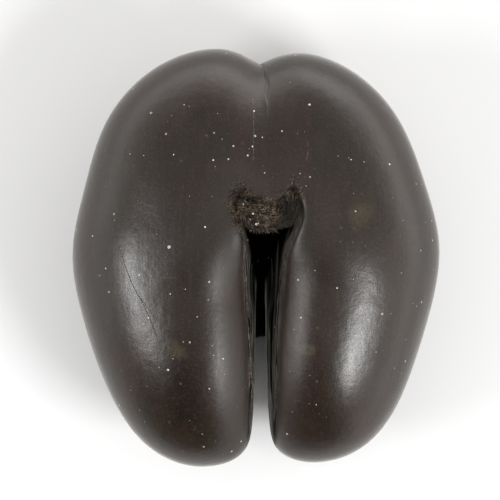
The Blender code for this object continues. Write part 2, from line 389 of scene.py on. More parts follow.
def march(distance, origins, directions):
    """Goes from each origin along its direction to the surface where a distance is zero."""
    rays = directions.reshape(-1, 3)
    starts = np.broadcast_to(origins, directions.shape).reshape(-1, 3)
    reach = np.zeros(len(rays))
    going = np.arange(len(rays))
    for _ in range(MARCH_STEPS):
        points = starts[going] + rays[going] * reach[going, None]
        step = MARCH_SHARE * distance(*points.T)
        reach[going] -= step
        going = going[np.abs(step) > MARCH_STOP]
    return (starts + rays * reach[:, None]).reshape(directions.shape)


def cleft_axis():
    """A point and a direction of the line inside the cleft's closed end, round which the rings fan out."""
    direction = np.array((AXIS_LEAN, AXIS_SLOPE, 1.0))
    return np.array((MIDDLE_X, FAN_Y, 0.0)), direction / np.linalg.norm(direction)


def lobe_rings(side):
    """Centre, outward direction, upward direction and lean of each ring of one lobe, from its tip on."""
    middle, axis = cleft_axis()
    straight_up = np.array((0.0, 0.0, 1.0))
    outwards = np.array((float(side), 0.0, 0.0))
    tip = np.array((TIP_CENTRE_X[side], TIP_CENTRE_Y, 0.0))
    shoulder = middle + outwards * SHOULDER_REACH[side]
    rings = []
    for ring in range(1, TIP_RINGS + 1):
        lean = 0.5 * math.pi * ring / (TIP_RINGS + 1)
        rings.append((tip, outwards, straight_up, lean))
    for ring in range(LOBE_RINGS):
        share = ring / LOBE_RINGS
        bow = math.sin(0.5 * math.pi * share)
        centre = tip + (shoulder - tip) * np.array((bow, share, 0.0))
        rings.append((centre, outwards, straight_up + (axis - straight_up) * share, 0.5 * math.pi))
    for ring in range(FAN_RINGS):
        share = 1.0 - (1.0 - ring / FAN_RINGS) ** FAN_CROWD
        turn = 0.5 * math.pi * share
        spoke = np.array((side * math.cos(turn), math.sin(turn), 0.0))
        reach = SHOULDER_REACH[side] + (FAN_REACH - SHOULDER_REACH[side]) * math.sin(turn) ** 2
        rings.append((middle + spoke * reach, spoke, axis, 0.5 * math.pi))
    return rings


def ring_rays(rings, angles):
    """Origins and directions of the rays of each ring at angles about its centre."""
    centres, outwards, up, lean = (np.array(part) for part in zip(*rings))
    flat = np.cos(angles)[..., None] * outwards[:, None] + np.sin(angles)[..., None] * up[:, None]
    tipwards = np.array((0.0, -1.0, 0.0))
    directions = np.sin(lean)[:, None, None] * flat + np.cos(lean)[:, None, None] * tipwards
    return centres[:, None], directions / np.linalg.norm(directions, axis=-1, keepdims=True)


def surface_facts(points):
    """Depth under the shared body and distance outside the cleft at points of the shell."""
    x, y, z = np.moveaxis(points, -1, 0)
    body = lobes_distance(x, y, z)
    return -body, cleft_distance(x, y, z, -body)


def even_angles(rings):
    """Angles that spread each ring's points along it, closer together where it turns and at the lips."""
    guides = np.unique(np.append(np.arange(0, len(rings), GUIDE_STEP), len(rings) - 1))
    angles = np.linspace(0.0, 2.0 * math.pi, 2 * COLUMNS + 1)
    guide_rings = [rings[guide] for guide in guides]
    points = march(shell_distance, *ring_rays(guide_rings, np.tile(angles, (len(guides), 1))))
    spread = []
    for ring in points:
        steps = np.diff(ring, axis=0)
        lengths = np.linalg.norm(steps, axis=1)
        along = steps / lengths[:, None]
        turns = np.arccos(np.clip((along * np.roll(along, 1, axis=0)).sum(1), -1.0, 1.0))
        depth, cleft = surface_facts(ring[1:])
        at_edge = bell(depth, LIP_DEPTH, EDGE_REACH) * bell(np.clip(cleft, 0.0, None), 0.0, EDGE_REACH)
        weights = lengths * (1.0 + EDGE_CROWD * at_edge * (ring[1:, 2] > 0.0)) + TURN_LENGTH * turns
        travelled = np.concatenate(([0.0], np.cumsum(weights)))
        wanted = np.linspace(0.0, travelled[-1], COLUMNS, endpoint=False)
        spread.append(np.interp(wanted, travelled, angles))
    spread = np.array(spread)
    every = np.arange(len(rings))
    return np.stack([np.interp(every, guides, spread[:, column]) for column in range(COLUMNS)], -1)


def shell_grid():
    """Points of the shell, ring by ring, from the tip of one lobe through the joined end to the other."""
    middle, axis = cleft_axis()
    end_spoke = np.array((0.0, 1.0, 0.0))
    end_ring = (middle + FAN_REACH * end_spoke, end_spoke, axis, 0.5 * math.pi)
    rings = [*lobe_rings(-1), end_ring, *lobe_rings(1)[::-1]]
    return march(shell_distance, *ring_rays(rings, even_angles(rings)))


def lobe_tip(side):
    """The last point of the shell at one lobe's tip."""
    origin = np.array((TIP_CENTRE_X[side], TIP_CENTRE_Y, 0.0))
    return march(shell_distance, origin, np.array((0.0, -1.0, 0.0)))


def frame_shift(points):
    """The move from the nut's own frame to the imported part's, found from the box of its shell."""
    low, high = (np.array(corner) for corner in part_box("shell"))
    grid = points.reshape(-1, 3)
    middle = 0.5 * (low + high) - 0.5 * (grid.min(0) + grid.max(0))
    return np.array((middle[0], middle[1], high[2] - grid[:, 2].max()))


def add_object(name, data):
    """An object of a mesh, a lamp or a camera, at the origin."""
    added = bpy.data.objects.new(name, data)
    bpy.context.scene.collection.objects.link(added)
    return added


def add_mesh(name, points, faces):
    """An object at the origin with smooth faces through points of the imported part's frame."""
    mesh = bpy.data.meshes.new(name)
    mesh.from_pydata([tuple(point) for point in points], [], faces)
    mesh.shade_smooth()
    return add_object(name, mesh)


def point_outwards(piece):
    """Turns a closed piece's faces outwards."""
    shape = bmesh.new()
    shape.from_mesh(piece.data)
    bmesh.ops.recalc_face_normals(shape, faces=shape.faces)
    shape.to_mesh(piece.data)
    shape.free()


def store(piece, name, values):
    """Keeps one number at each point of a piece, for its material."""
    attribute = piece.data.attributes.new(name, "FLOAT", "POINT")
    attribute.data.foreach_set("value", np.asarray(values, np.float32))


def grid_faces(rings, tips):
    """Faces between rings of points, closed by a fan of triangles at each tip."""
    faces = []
    for ring in range(rings - 1):
        start = ring * COLUMNS
        for column in range(COLUMNS):
            after = (column + 1) % COLUMNS
            faces.append((start + column, start + after, start + COLUMNS + after, start + COLUMNS + column))
    for tip, start in zip(tips, (0, (rings - 1) * COLUMNS)):
        for column in range(COLUMNS):
            faces.append((tip, start + column, start + (column + 1) % COLUMNS))
    return faces


def make_shell(grid, shift):
    """The shell's fine surface, resting on its flats."""
    own = np.concatenate((grid.reshape(-1, 3), [lobe_tip(-1), lobe_tip(1)]))
    places = own + shift
    places[:, 2] = np.maximum(places[:, 2], 0.0)
    count = grid.shape[0] * COLUMNS
    piece = add_mesh("shell_surface", places, grid_faces(grid.shape[0], (count, count + 1)))
    point_outwards(piece)
    depth, cleft = surface_facts(own)
    x, y, z = own.T
    aside = x - middle_x(y, z)
    # Shares of the wall's dull brown, partly painted shade, and of the black painted shade deeper in
    store(piece, "wall", smooth_step(depth - LIP_DEPTH, *WALL_DEPTHS))
    store(piece, "inside", smooth_step(depth - LIP_DEPTH, *INSIDE_DEPTHS))
    store(piece, "lip", bell(depth, LIP_DEPTH, 1.5 * LIP_WIDTH) * beside_cleft(x, y, z, cleft))
    store(piece, "seam", seam_sink(x, y, z) / SEAM_DEPTH)
    end_y = np.where(aside < 0.0, FUZZ_END_Y[-1], FUZZ_END_Y[1])
    along = smooth_step(y, end_y, end_y + FUZZ_FADE) * upper_share(z)
    store(piece, "fuzz", along * bell(cleft, FUZZ_AT, FUZZ_WIDTH) * smooth_step(depth, FUZZ_DEPTH, 0.0))
    duller = 0.5 + 0.5 * smooth_step(aside, DUSTY_BLEND, -DUSTY_BLEND)
    store(piece, "dusty", duller * bell(cleft, DUSTY_AT, DUSTY_WIDTH) * upper_share(z))
    return piece


def lip_path(grid, side, shift):
    """The line along one lobe's lip, from its tip to the tongue, found ring by ring."""
    half = grid.shape[0] // 2 + 1
    rings = grid[:half] if side < 0 else grid[::-1][:half]
    depth, cleft = surface_facts(rings)
    near = bell(depth, LIP_DEPTH, LIP_WIDTH) * (np.abs(cleft) < CLEFT_REACH) * (rings[..., 2] > LIP_FROM_Z)
    weight = near.sum(1)
    points = (rings * near[..., None]).sum(1) / np.maximum(weight, 1e-9)[:, None]
    return points[weight > LIP_SHARE] + shift


def make_tuft_core(shift):
    """The dense bed of the tuft, under its fibres."""
    shape = bmesh.new()
    bmesh.ops.create_icosphere(shape, subdivisions=TUFT_DETAIL, radius=1.0)
    directions = np.array([vertex.co for vertex in shape.verts])
    for vertex, point in zip(shape.verts, march(tuft_distance, np.array(TUFT_CENTRE), directions)):
        vertex.co = point + shift
    mesh = bpy.data.meshes.new("tuft_core")
    shape.to_mesh(mesh)
    shape.free()
    mesh.shade_smooth()
    return add_object("tuft_core", mesh)


class Wire:
    """A socket of a node tree. Arithmetic with it adds Math nodes."""

    def __init__(self, graph, socket):
        self.graph = graph
        self.socket = socket

    def output(self, place):
        """Another output of the same node."""
        return Wire(self.graph, self.socket.node.outputs[place])

    def math(self, operation, *values, clamp=False):
        """The result of a Math node."""
        settings = {"operation": operation, "use_clamp": clamp}
        return self.graph.node("ShaderNodeMath", settings, dict(enumerate(values)))

    def __add__(self, other):
        return self.math("ADD", self, other)

    def __radd__(self, other):
        return self.math("ADD", other, self)

    def __sub__(self, other):
        return self.math("SUBTRACT", self, other)

    def __rsub__(self, other):
        return self.math("SUBTRACT", other, self)

    def __mul__(self, other):
        return self.math("MULTIPLY", self, other)

    def __rmul__(self, other):
        return self.math("MULTIPLY", other, self)

    def __truediv__(self, other):
        return self.math("DIVIDE", self, other)

    def __pow__(self, other):
        return self.math("POWER", self, other)

    def __abs__(self):
        return self.math("ABSOLUTE", self)

    def clamped(self):
        """The same number, kept between 0 and 1."""
        return self.math("ADD", self, 0.0, clamp=True)

    def above(self, limit):
        """1 above a limit and 0 below it."""
        return self.math("GREATER_THAN", self, limit)

    def step(self, start, end):
        """0 before start, 1 after end, and an even curve between them."""
        settings = {"interpolation_type": "SMOOTHSTEP"}
        sockets = {"Value": self, "From Min": start, "From Max": end}
        return self.graph.node("ShaderNodeMapRange", settings, sockets)

    def bell(self, width):
        """1 at zero, falling to 0 at a width on both sides."""
        return 1.0 - abs(self).step(0.0, width)


class Graph:
    """A node tree of a material or of Geometry Nodes."""

    def __init__(self, tree):
        self.tree = tree

    def node(self, kind, settings=None, sockets=None, output=0):
        """Adds a node, sets it up, fills its sockets with values or wires, and returns one output."""
        made = self.tree.nodes.new(kind)
        for name, value in (settings or {}).items():
            setattr(made, name, value)
        for key, value in (sockets or {}).items():
            if isinstance(value, Wire):
                self.tree.links.new(value.socket, made.inputs[key])
            else:
                made.inputs[key].default_value = value
        return Wire(self, made.outputs[output])

    def object_place(self):
        """Object coordinates, in a material."""
        return self.node("ShaderNodeTexCoord", output=3)

    def stored(self, name):
        """A number kept at the points of a surface, in a material."""
        return self.node("ShaderNodeAttribute", {"attribute_name": name}, output=2)

    def named(self, name, kind="FLOAT"):
        """A value kept at points, in Geometry Nodes."""
        return self.node("GeometryNodeInputNamedAttribute", {"data_type": kind}, {0: name})

    def noise(self, place, scale, detail=3.0, roughness=0.55, distortion=0.0):
        """Noise between about 0 and 1."""
        sockets = {"Vector": place, "Scale": scale, "Detail": detail}
        sockets.update({"Roughness": roughness, "Distortion": distortion})
        return self.node("ShaderNodeTexNoise", {}, sockets)

    def twist(self, scale, strand, detail=1.0):
        """A vector of noise about zero in Geometry Nodes, different for each strand."""
        sockets = {"W": strand * 61.0, "Scale": scale, "Detail": detail}
        colours = self.node("ShaderNodeTexNoise", {"noise_dimensions": "4D"}, sockets, 1)
        return self.vector("SUBTRACT", colours, (0.5, 0.5, 0.5))

    def stretched(self, place, scale, turn=0.0):
        """Coordinates turned about Z and scaled by three factors."""
        sockets = {"Vector": place, "Rotation": (0.0, 0.0, turn), "Scale": scale}
        return self.node("ShaderNodeMapping", {"vector_type": "POINT"}, sockets)

    def mix(self, share, first, second):
        """A colour between two colours."""
        return self.node("ShaderNodeMix", {"data_type": "RGBA"}, {0: share, 6: first, 7: second}, 2)

    def vector(self, operation, *values):
        """A sum, difference or product of vectors."""
        return self.node("ShaderNodeVectorMath", {"operation": operation}, dict(enumerate(values)))

    def scaled(self, vector, factor):
        """A vector times a number."""
        return self.node("ShaderNodeVectorMath", {"operation": "SCALE"}, {0: vector, 3: factor})

    def joined(self, x, y, z):
        """A vector of three numbers."""
        return self.node("ShaderNodeCombineXYZ", {}, {0: x, 1: y, 2: z})

    def split(self, vector):
        """The three numbers of a vector."""
        x = self.node("ShaderNodeSeparateXYZ", {}, {0: vector})
        return x, x.output(1), x.output(2)


def colour(red, green, blue):
    """A colour from its linear red, green and blue shares."""
    return (red, green, blue, 1.0)


def new_material(name):
    """A material and its graph, with only the surface shader and the output in it."""
    material = bpy.data.materials.new(name)
    material.use_nodes = True
    return material, Graph(material.node_tree), material.node_tree.nodes["Principled BSDF"]


def plug(graph, shader, **values):
    """Sets sockets of the surface shader by name, with an underscore for each space."""
    for name, value in values.items():
        socket = shader.inputs[name.replace("_", " ")]
        if isinstance(value, Wire):
            graph.tree.links.new(value.socket, socket)
        else:
            socket.default_value = value


# Heights between which the marks of the front fade in
MARKS_FROM_Z = 0.085
MARKS_TO_Z = 0.10

# Thin marks on the front: start, end, sideways bow and half width, in metres
CRACKS = (
    ((-0.0911, 0.0028), (-0.0779, -0.0283), -0.0014, 0.00026),
    ((-0.0779, -0.0283), (-0.0670, -0.0540), 0.0006, 0.00022),
    ((-0.0785, -0.0268), (-0.0688, -0.0405), 0.0004, 0.00016),
)
SCRATCHES = (
    ((0.0336, 0.0818), (0.0335, 0.0661), 0.0013, 0.00050),
    ((-0.0021, 0.1119), (-0.0022, 0.0627), 0.0004, 0.00045),
    ((-0.0640, -0.0133), (-0.0531, -0.0133), 0.0003, 0.00030),
)

# Worn places on the front: middle and radius, in metres
WORN = (((-0.0540, -0.0612), 0.011), ((0.0719, 0.0311), 0.013), ((0.0342, -0.0612), 0.006))

# Colours of the shell
OLIVE_BROWN = colour(0.0150, 0.0100, 0.0062)
RED_BROWN = colour(0.0198, 0.0094, 0.0064)
CLOUD_BROWN = colour(0.0068, 0.0042, 0.0030)
PATCH_BROWN = colour(0.0290, 0.0188, 0.0095)
GRAIN_BROWN = colour(0.0250, 0.0155, 0.0095)
FINE_BROWN = colour(0.0460, 0.0330, 0.0230)
WORN_OLIVE = colour(0.075, 0.058, 0.030)
PALE_DOT = colour(0.15, 0.14, 0.12)
# Dull brown of the cleft's wall, partly its own raw colour and partly painted shade, and black painted shade
# deeper in the cleft
WALL_BROWN_AND_SHADE = colour(0.0050, 0.0040, 0.0032)
INSIDE_PAINTED_SHADE = colour(0.0008, 0.0007, 0.0006)
LIP_BROWN = colour(0.0120, 0.0095, 0.0075)
# Pale streaks of the lips: partly the broken shell's own raw colour, partly painted highlight where their
# crests catch light
LIP_STREAK_AND_HIGHLIGHT = colour(0.105, 0.088, 0.066)
SEAM_BROWN = colour(0.0100, 0.0095, 0.0060)
CRACK_BROWN = colour(0.0050, 0.0038, 0.0032)
SCRATCH_PALE = colour(0.120, 0.100, 0.070)
SHEEN_TINT = colour(0.95, 0.93, 0.86)


def line_mark(x, y, start, end, bow, half_width):
    """1 on a bowed line between two places seen from the front, 0 beside it."""
    length = math.dist(start, end)
    ahead_x = (end[0] - start[0]) / length
    ahead_y = (end[1] - start[1]) / length
    along = ((x - start[0]) * ahead_x + (y - start[1]) * ahead_y) / length
    aside = (y - start[1]) * ahead_x - (x - start[0]) * ahead_y
    middle = (along - 0.5) * 2.0
    line = aside - bow * (1.0 - middle * middle)
    return line.bell(half_width) * (1.0 - abs(middle).step(0.85, 1.05))


def marks_sum(x, y, marks):
    """All line marks of a list together."""
    total = None
    for mark in marks:
        shown = line_mark(x, y, *mark)
        total = shown if total is None else total + shown
    return total.clamped()


def worn_share(x, y, middle, radius, patch):
    """1 in the middle of a worn place with an uneven edge, 0 outside it."""
    ahead_x = x - middle[0]
    ahead_y = y - middle[1]
    away = (ahead_x * ahead_x + ahead_y * ahead_y) ** 0.5
    return (away + (patch - 0.5) * 0.03).bell(radius)


def shell_browns(graph, place, patch, grain, fine):
    """The mottled browns of the polished shell."""
    mottle = graph.noise(graph.stretched(place, (26.0, 11.0, 26.0)), 1.0, detail=5.0, distortion=0.5)
    cloud = graph.noise(graph.stretched(place, (13.0, 6.0, 13.0)), 1.0, detail=3.0)
    base = graph.mix(mottle.step(0.40, 0.60), OLIVE_BROWN, RED_BROWN)
    base = graph.mix(cloud.step(0.46, 0.64) * 0.65, base, CLOUD_BROWN)
    base = graph.mix(patch.step(0.52, 0.80) * 0.55, base, PATCH_BROWN)
    base = graph.mix(grain.step(0.46, 0.74) * 0.50, base, GRAIN_BROWN)
    return graph.mix(fine.step(0.50, 0.70) * 0.50, base, FINE_BROWN), mottle


def cleft_browns(graph, place, base, wall, lip):
    """The cleft's walls, dull brown partly by painted shade and black deeper in by painted shade, its lips
    with pale streaks that are partly painted highlight, and the seam, over the shell's own colour.
    """
    # Painted shade: the cleft's wall is darkened to a near-black brown, and deeper in to black
    base = graph.mix(wall, base, WALL_BROWN_AND_SHADE)
    base = graph.mix(graph.stored("inside"), base, INSIDE_PAINTED_SHADE)
    streaks = graph.noise(graph.stretched(place, (900.0, 45.0, 900.0)), 1.0, detail=2.0).step(0.47, 0.60)
    base = graph.mix(lip * 0.8, base, LIP_BROWN)
    # Pale streaks on the lips, partly painted highlight on their crests
    base = graph.mix(lip * streaks * 0.85, base, LIP_STREAK_AND_HIGHLIGHT)
    return graph.mix(graph.stored("seam").step(0.15, 0.75), base, SEAM_BROWN)


def shell_material():
    """Dark brown polished shell: mottled, grained along the nut, pitted, and rough inside the cleft, whose
    walls carry painted shade and whose lips carry painted highlight.
    """
    material, graph, shader = new_material("polished_shell")
    place = graph.object_place()
    x, y, z = graph.split(place)
    front = z.step(MARKS_FROM_Z, MARKS_TO_Z)
    wall = graph.stored("wall")
    lip = graph.stored("lip")
    patch = graph.noise(place, 55.0, detail=4.0)
    grain = graph.noise(graph.stretched(place, (260.0, 16.0, 260.0)), 1.0, detail=4.0, roughness=0.6)
    fine = graph.noise(place, 700.0, detail=3.0, roughness=0.7)
    base, mottle = shell_browns(graph, place, patch, grain, fine)
    for middle, radius in WORN:
        worn = worn_share(x, y, middle, radius, patch) * (fine * 0.8 + grain * 0.5) * front
        base = graph.mix(worn * 0.75, base, WORN_OLIVE)
    cells = graph.node("ShaderNodeTexVoronoi", {}, {"Vector": place, "Scale": 120.0})
    tint, strength, _ = graph.split(cells.output(1))
    dots = cells.bell(0.16) * tint.above(0.72)
    base = graph.mix(dots * (0.08 + strength * 0.30), base, PALE_DOT)
    base = cleft_browns(graph, place, base, wall, lip)
    broken = graph.noise(place, 300.0, detail=2.0).step(0.40, 0.56)
    cracks = marks_sum(x, y, CRACKS) * front * (0.20 + broken * 0.80)
    scratches = marks_sum(x, y, SCRATCHES) * front * broken
    base = graph.mix(cracks * 0.55, base, CRACK_BROWN)
    base = graph.mix(scratches * 0.7, base, SCRATCH_PALE)
    roughness = 0.14 + mottle * 0.08 + fine * 0.18 + grain * 0.08 + wall * 0.6 + lip * 0.5 + dots * 0.3
    roughness = roughness + graph.stored("dusty") * 0.24
    height = grain * 0.45 + fine * 0.24 + graph.noise(place, 70.0) * 2.0 - cracks * 1.0 + dots * 0.3
    bump = graph.node("ShaderNodeBump", {}, {"Strength": 0.36, "Distance": 0.0005, "Height": height})
    plug(graph, shader, Base_Color=base, Roughness=roughness.clamped(), Normal=bump, Metallic=wall)
    plug(graph, shader, IOR=1.50, Sheen_Weight=0.62, Sheen_Roughness=0.26, Sheen_Tint=SHEEN_TINT)
    return material


# Middle of the whorl of the tuft's strands, the radius of its golden part, and its dark right side
WHORL_X = 0.0085
WHORL_Y = 0.0320
GOLDEN_RADIUS = 0.013
DARK_SIDE_X = (0.010, 0.020)
DARK_SIDE_Y = (0.036, 0.044)

# Flow of the tuft's strands: its way on the left, where it starts to turn round the whorl, and how strongly
LEFT_FLOW = (0.62, -0.78)
TURNING_X = (-0.003, 0.009)
WHORL_PULL = 75.0


def fibre_material(name, dark, light):
    """Dry husk fibre or splinters of shell, each of its own shade."""
    material, graph, shader = new_material(name)
    place = graph.object_place()
    strand = graph.stored("strand")
    shade = graph.noise(place, 300.0, detail=2.0)
    x, y, _ = graph.split(place)
    whorl = ((x - WHORL_X) ** 2.0 + (y - WHORL_Y) ** 2.0) ** 0.5
    golden = whorl.bell(GOLDEN_RADIUS)
    clump = graph.noise(graph.stretched(place, (150.0, 320.0, 150.0), 0.7), 1.0, detail=3.0).step(0.36, 0.60)
    shadowed = x.step(*DARK_SIDE_X) * (1.0 - y.step(*DARK_SIDE_Y)) * 0.85
    light_share = (strand ** 2.2 + shade * 0.2) * (0.15 + clump * 0.95)
    light_share = light_share * (0.66 + golden * 0.9) * (1.0 - shadowed)
    base = graph.mix(light_share.clamped(), dark, light)
    plug(graph, shader, Base_Color=base, Roughness=0.75 + shade * 0.15)
    return material


def core_material():
    """Dark matted bed of the tuft, under its strands."""
    material, graph, shader = new_material("matted_fibre")
    shade = graph.noise(graph.object_place(), 600.0, detail=3.0)
    base = graph.mix(shade.step(0.4, 0.7), colour(0.006, 0.004, 0.003), colour(0.030, 0.020, 0.012))
    plug(graph, shader, Base_Color=base, Roughness=0.85 + shade * 0.1)
    return material


def speck_material():
    """Pale dry specks in the shell."""
    material, graph, shader = new_material("pale_speck")
    shade = graph.noise(graph.object_place(), 160.0, detail=1.0)
    base = graph.mix(shade.step(0.35, 0.65), colour(0.24, 0.215, 0.175), colour(0.62, 0.59, 0.53))
    plug(graph, shader, Base_Color=base, Roughness=0.7 + shade * 0.1)
    return material


def table_material():
    """Plain white table."""
    material, graph, shader = new_material("white_table")
    shade = graph.noise(graph.object_place(), 4.0, detail=2.0)
    base = graph.mix(shade, colour(0.92, 0.92, 0.93), colour(0.94, 0.94, 0.94))
    plug(graph, shader, Base_Color=base, Roughness=0.6 + shade * 0.05)
    return material


def grow(name, roots, material, build, **sizes):
    """Runs a Geometry Nodes tree on a mesh of roots and keeps the result as a plain mesh."""
    tree = bpy.data.node_groups.new(name, "GeometryNodeTree")
    graph = Graph(tree)
    tree.interface.new_socket("Roots", in_out="INPUT", socket_type="NodeSocketGeometry")
    tree.interface.new_socket("Grown", in_out="OUTPUT", socket_type="NodeSocketGeometry")
    handles = {}
    for label, value in sizes.items():
        kind = "NodeSocketInt" if isinstance(value, int) else "NodeSocketFloat"
        handles[label] = tree.interface.new_socket(label, in_out="INPUT", socket_type=kind).identifier
    entry = tree.nodes.new("NodeGroupInput")
    inputs = {label: Wire(graph, entry.outputs[label]) for label in sizes}
    grown = build(graph, Wire(graph, entry.outputs["Roots"]), inputs)
    grown = graph.node("GeometryNodeRealizeInstances", {}, {0: grown})
    grown = graph.node("GeometryNodeSetMaterial", {}, {0: grown, 2: material})
    leave = tree.nodes.new("NodeGroupOutput")
    tree.links.new(grown.socket, leave.inputs["Grown"])
    piece = add_object(name, roots)
    modifier = piece.modifiers.new(name, "NODES")
    modifier.node_group = tree
    for label, identifier in handles.items():
        modifier[identifier] = sizes[label]
    depsgraph = bpy.context.evaluated_depsgraph_get()
    mesh = bpy.data.meshes.new_from_object(piece.evaluated_get(depsgraph))
    piece.modifiers.clear()
    piece.data = mesh
    mesh.shade_smooth()
    return piece


def random_number(graph, low, high, seed, identity=None):
    """A random number for each element, or for each identity."""
    sockets = {2: low, 3: high, 8: seed}
    if identity is not None:
        sockets[7] = identity
    return graph.node("FunctionNodeRandomValue", {"data_type": "FLOAT"}, sockets, 1)


def keep_shade(graph, strands, domain, shade):
    """Keeps a shade with each strand, for its material and its own way of curling."""
    settings = {"data_type": "FLOAT", "domain": domain}
    return graph.node("GeometryNodeStoreNamedAttribute", settings, {0: strands, 2: "strand", 3: shade})


def spun_strands(graph, points, flow, sizes):
    """Curly strands that start at points and run along a flow, thinner towards their ends."""
    ends = {0: (0.0, 0.0, 0.0), 1: (0.0, 0.0, 1.0)}
    line = graph.node("GeometryNodeCurvePrimitiveLine", {"mode": "POINTS"}, ends)
    line = graph.node("GeometryNodeResampleCurve", {"mode": "COUNT"}, {0: line, 2: sizes["Steps"]})
    turn = graph.node("FunctionNodeAlignRotationToVector", {"axis": "Z"}, {2: flow})
    length = random_number(graph, sizes["Shortest"], sizes["Longest"], 3)
    strands = graph.node("GeometryNodeInstanceOnPoints", {}, {0: points, 2: line, 5: turn, 6: length})
    strands = keep_shade(graph, strands, "INSTANCE", random_number(graph, 0.0, 1.0, 5))
    strands = graph.node("GeometryNodeRealizeInstances", {}, {0: strands})
    strand = graph.named("strand")
    along = graph.node("GeometryNodeSplineParameter")
    curl = graph.scaled(graph.twist(210.0, strand), along * sizes["Curl"])
    kink = graph.scaled(graph.twist(650.0, strand, 0.0), along.step(0.0, 0.3) * sizes["Kink"])
    strands = graph.node("GeometryNodeSetPosition", {}, {0: strands, 3: graph.vector("ADD", curl, kink)})
    profile = graph.node("GeometryNodeCurvePrimitiveCircle", {"mode": "RADIUS"}, {0: 3, 4: 1.0})
    thickness = sizes["Thickness"] * (1.0 - along * 0.7) * (0.6 + strand * 0.8)
    return graph.node("GeometryNodeCurveToMesh", {}, {0: strands, 1: profile, 2: thickness, 3: True})


def jitter(graph, seed):
    """A random vector for each point, with parts between -1 and 1."""
    sockets = {0: (-1.0,) * 3, 1: (1.0,) * 3, 8: seed}
    return graph.node("FunctionNodeRandomValue", {"data_type": "FLOAT_VECTOR"}, sockets)


def scattered(graph, roots, sizes, **sockets):
    """Random points on the faces of the roots."""
    sockets = {"Mesh": roots, "Density": sizes["Density"], "Seed": sizes["Seed"], **sockets}
    return graph.node("GeometryNodeDistributePointsOnFaces", {"distribute_method": "RANDOM"}, sockets)


def tuft_flow(graph, normal):
    """The way the tuft's strands run: down and right on its left, round a whorl in its middle."""
    x, y, _ = graph.split(graph.node("GeometryNodeInputPosition"))
    right = x.step(*TURNING_X)
    left = 1.0 - right
    flow_x = left * LEFT_FLOW[0] - right * (y - WHORL_Y) * WHORL_PULL
    flow_y = left * LEFT_FLOW[1] + right * (x - WHORL_X) * WHORL_PULL
    flow = graph.vector("ADD", graph.joined(flow_x, flow_y, 0.1), graph.scaled(jitter(graph, 9), 0.65))
    return graph.vector("ADD", flow, graph.scaled(normal, 0.55))


def tuft_tree(graph, roots, sizes):
    """Strands all over the upper side of the tuft's bed."""
    facing = graph.split(graph.node("GeometryNodeInputNormal"))[2].above(0.25)
    points = scattered(graph, roots, sizes, Selection=facing)
    return spun_strands(graph, points, tuft_flow(graph, points.output(1)), sizes)


def fuzz_tree(graph, roots, sizes):
    """Short strands that lie every way over the closed end's edge."""
    points = scattered(graph, roots, sizes, Density=graph.named("fuzz") * sizes["Density"])
    flow = graph.vector("ADD", graph.scaled(points.output(1), 0.55), jitter(graph, 12))
    return spun_strands(graph, points, flow, sizes)


def flake_tree(graph, roots, sizes):
    """Thin splinters that lie along a lip, each over a short part of it."""
    path = graph.node("GeometryNodeMeshToCurve", {}, {0: roots})
    copies = graph.node("GeometryNodeDuplicateElements", {"domain": "SPLINE"}, {0: path, 2: sizes["Count"]})
    which = copies.output(1)
    copies = keep_shade(graph, copies, "CURVE", random_number(graph, 0.0, 1.0, sizes["Seed"], which))
    start = random_number(graph, 0.0, 0.94, 2, which)
    end = start + random_number(graph, sizes["Shortest"], sizes["Longest"], 6, which)
    copies = graph.node("GeometryNodeTrimCurve", {"mode": "FACTOR"}, {0: copies, 2: start, 3: end})
    copies = graph.node("GeometryNodeResampleCurve", {"mode": "COUNT"}, {0: copies, 2: 11})
    strand = graph.named("strand")
    across = random_number(graph, -1.0, 1.0, 8, which) * sizes["Spread"]
    rise = random_number(graph, 0.1, 1.0, 10, which) * sizes["Rise"]
    place = graph.joined(across, 0.0, rise - abs(across) * 0.5)
    sway = graph.scaled(graph.twist(120.0, strand), sizes["Sway"])
    copies = graph.node("GeometryNodeSetPosition", {}, {0: copies, 3: graph.vector("ADD", place, sway)})
    along = graph.node("GeometryNodeSplineParameter")
    taper = (along * (1.0 - along) * 4.0) ** 0.6
    copies = graph.node("GeometryNodeSetCurveNormal", {"mode": "Z_UP"}, {0: copies})
    tilt = random_number(graph, -0.7, 0.7, 14, which)
    copies = graph.node("GeometryNodeSetCurveTilt", {}, {0: copies, 2: tilt})
    sockets = {0: sizes["Width"], 1: sizes["Width"] * 0.3}
    profile = graph.node("GeometryNodeCurvePrimitiveQuadrilateral", {"mode": "RECTANGLE"}, sockets)
    size = taper * (0.4 + random_number(graph, 0.0, 1.0, 16, which))
    return graph.node("GeometryNodeCurveToMesh", {}, {0: copies, 1: profile, 2: size, 3: True})


def speck_instances(graph, points, turn, size):
    """Small flat uneven blobs on points."""
    blob = graph.node("GeometryNodeMeshIcoSphere", {}, {0: 1.0, 1: 2})
    blob = graph.node("GeometryNodeTransform", {}, {0: blob, 3: (1.0, 1.0, 0.35)})
    specks = graph.node("GeometryNodeInstanceOnPoints", {}, {0: points, 2: blob, 5: turn, 6: size})
    specks = graph.node("GeometryNodeRealizeInstances", {}, {0: specks})
    uneven_edge = graph.scaled(graph.twist(900.0, 0.0), 0.0007)
    return graph.node("GeometryNodeSetPosition", {}, {0: specks, 3: uneven_edge})


def speck_tree(graph, roots, sizes):
    """Specks scattered over the shell, most of them small."""
    points = scattered(graph, roots, sizes)
    share = random_number(graph, 0.0, 1.0, 3) ** 4.0
    size = sizes["Smallest"] + share * (sizes["Largest"] - sizes["Smallest"])
    return speck_instances(graph, points, points.output(2), size)


def named_speck_tree(graph, roots, sizes):
    """Larger specks on chosen points, each of its own size."""
    facing = graph.named("facing", "FLOAT_VECTOR")
    turn = graph.node("FunctionNodeAlignRotationToVector", {"axis": "Z"}, {2: facing})
    return speck_instances(graph, roots, turn, graph.named("size") * sizes["Scale"])


